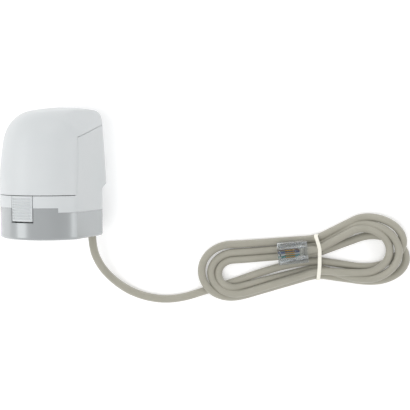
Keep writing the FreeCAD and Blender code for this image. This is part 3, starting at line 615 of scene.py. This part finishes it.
def add_tie(made):
    """A soft band drawn round the bundle; over the top it bows towards the hank's far end."""
    low, high = TIE[0] / MM, TIE[1] / MM
    middle = (low + high) / 2
    half_y, half_z = (high.y - low.y) / 2 - TIE_THICK, (high.z - low.z) / 2 - TIE_THICK
    rings, steps = [], 96
    for k in range(steps):
        a = 2 * math.pi * k / steps
        c, s = math.cos(a), math.sin(a)
        y = math.copysign(abs(c) ** 0.42, c) * half_y
        z = math.copysign(abs(s) ** 0.62, s) * half_z
        ny, nz = math.copysign(abs(c) ** 1.58, c) / half_y, math.copysign(abs(s) ** 1.38, s) / half_z
        size = math.hypot(ny, nz)
        ny, nz = ny / size, nz / size
        share = y / half_y
        bow = -3.6 * max(0.0, share - 0.25) ** 1.7 - 0.9 * max(0.0, -share - 0.3) ** 1.5
        x = middle.x + 0.7 + bow * (0.5 + 0.5 * max(-1.0, min(1.0, z / half_z)))
        ring = []
        for n in range(14):
            b = 2 * math.pi * n / 14
            wide = TIE_WIDE * math.copysign(abs(math.cos(b)) ** 0.6, math.cos(b))
            thick = TIE_THICK * math.copysign(abs(math.sin(b)) ** 0.8, math.sin(b))
            ring.append(mm(x + wide, middle.y + y + ny * thick, middle.z + z + nz * thick))
        rings.append(ring)
    mesh = swept(rings, closed_along=True)
    band = add_mesh("tie_band", mesh, made, "housing")
    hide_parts("cable_tie")


def add_mesh(name, source, made, body):
    """A finished bmesh as a piece that moves with one of the frame's bodies."""
    data = bpy.data.meshes.new(name)
    for face in source.faces:
        face.smooth = True
    source.to_mesh(data)
    source.free()
    data.materials.append(made)
    added = bpy.data.objects.new(name, data)
    scene.collection.objects.link(added)
    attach(added, body)
    return added


# --- stage -------------------------------------------------------------------------------------------
LAMP_TARGET = (45, 10, 0)
FLOOR_GLOW = 0.22


def add_light(name, place, target, size, power, mirrored=True):
    """A rectangular lamp; one that isn't mirrored lights the object but isn't seen in its gloss."""
    data = bpy.data.lights.new(name, "AREA")
    data.shape = "RECTANGLE"
    data.size, data.size_y = size
    data.energy = power
    lamp = bpy.data.objects.new(name, data)
    lamp.location = place
    lamp.visible_glossy = mirrored
    lamp.rotation_euler = (Vector(target) - Vector(place)).to_track_quat("-Z", "Y").to_euler()
    scene.collection.objects.link(lamp)


def add_stage():
    mesh = bpy.data.meshes.new("floor")
    half = 3.0
    z = TABLE_Z - 0.00005
    corners = [(-half, -half, z), (half, -half, z), (half, half, z), (-half, half, z)]
    mesh.from_pydata(corners, [], [(0, 1, 2, 3)])
    floor = bpy.data.objects.new("floor", mesh)
    scene.collection.objects.link(floor)
    pale = material("pale_floor", (0.95, 0.95, 0.95), 0.9, Emission_Color=(1, 1, 1, 1),
                    Emission_Strength=FLOOR_GLOW)
    floor.data.materials.append(pale)
    add_world()
    middle = mm(*LAMP_TARGET)
    add_light("left_softbox", aim(-60, 4, 0.54), middle, (0.42, 0.22), 0.42)
    add_light("right_strip", aim(56, 4, 0.50), middle, (0.42, 0.10), 0.20)
    add_light("far_softbox", aim(10, 62, 0.60), middle, (0.50, 0.22), 0.5, mirrored=False)
    add_light("camera_side", aim(-12, -12, 0.85), middle, (0.60, 0.60), 3.3, mirrored=False)


def aim(across, along, distance):
    """A place seen from the middle of the object, by its angles from straight up, in degrees."""
    a, b = math.radians(across), math.radians(along)
    way = Vector((math.sin(a), math.tan(b), math.cos(a))).normalized()
    return Vector(mm(*LAMP_TARGET)) + way * distance


def add_world():
    """An even white room that is dimmer overhead than round the table."""
    world = bpy.data.worlds.new("studio")
    scene.world = world
    world.use_nodes = True
    tree = world.node_tree
    place = tree.nodes.new("ShaderNodeTexCoord")
    split = tree.nodes.new("ShaderNodeSeparateXYZ")
    ramp = tree.nodes.new("ShaderNodeValToRGB")
    ramp.color_ramp.elements[0].position = 0.25
    ramp.color_ramp.elements[0].color = (1, 1, 1, 1)
    ramp.color_ramp.elements[1].position = 0.95
    ramp.color_ramp.elements[1].color = (0.55, 0.55, 0.56, 1)
    background = tree.nodes["Background"]
    background.inputs["Strength"].default_value = 0.78
    tree.links.new(place.outputs["Generated"], split.inputs["Vector"])
    tree.links.new(split.outputs["Z"], ramp.inputs["Fac"])
    tree.links.new(ramp.outputs["Color"], background.inputs["Color"])


add_camera()
add_stage()
white = housing_material()
add_housing(white)
add_latch(white)
give("base_ring", ring_material())
steel = metal("zinc_steel", (0.62, 0.62, 0.63), 0.32)
bright = metal("ground_steel", (0.72, 0.72, 0.73), 0.2)
acetal = plastic("natural_acetal", (0.78, 0.77, 0.73), 0.4)
for name in ("latch_pin", "latch_spring", "gear_axles"):
    give(name, bright)
for name in ("plate_posts", "plate_screws", "housing_screws", "chassis_screws", "thrust_washer",
             "plunger_spindle", "motor_can"):
    give(name, steel)
for name in ("chassis_plate", "upper_plate", "first_gear", "second_gear", "third_gear"):
    give(name, acetal)
add_adapter(plastic("filled_grey", (0.34, 0.35, 0.36), 0.5))
give("cable_clamp", plastic("clamp_grey", (0.3, 0.3, 0.31), 0.5))
give("drive_nut", plastic("dark_acetal", (0.07, 0.075, 0.08), 0.4))
give("pressure_foot", plastic("black_filled", (0.035, 0.035, 0.038), 0.45))
give("motor_rotor", plastic("ferrite", (0.03, 0.03, 0.032), 0.6))
give("circuit_board", plastic("solder_mask", (0.01, 0.12, 0.035), 0.3))
for name in ("microcontroller", "motor_terminals"):
    give(name, plastic("epoxy_" + name, (0.02, 0.02, 0.02), 0.5))
give("wire_connector", plastic("nylon", (0.75, 0.7, 0.58), 0.45))
give("capacitor", metal("sleeve", (0.6, 0.61, 0.63), 0.3))
give("signal_wires", plastic("cores", (0.02, 0.25, 0.22), 0.45))
give("motor_leads", plastic("leads", (0.4, 0.03, 0.03), 0.45))
add_tie(plastic("cream_band", (0.97, 0.945, 0.84), 0.4))
clear = clear_material()
add_plug(clear)
give("plug_tab", clear)
give("plug_contacts", metal("gold", (0.85, 0.58, 0.2), 0.22))
add_cores([plastic("core_" + name, color, 0.4) for name, color in (
    ("teal", (0.02, 0.25, 0.22)), ("white", (0.7, 0.7, 0.68)),
    ("blue", (0.03, 0.06, 0.2)), ("brown", (0.12, 0.05, 0.02)))])

cable = add_cable()
cable.data.materials.append(cable_material())
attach(cable, "housing")
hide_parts("cable_tube", "cable_hank")
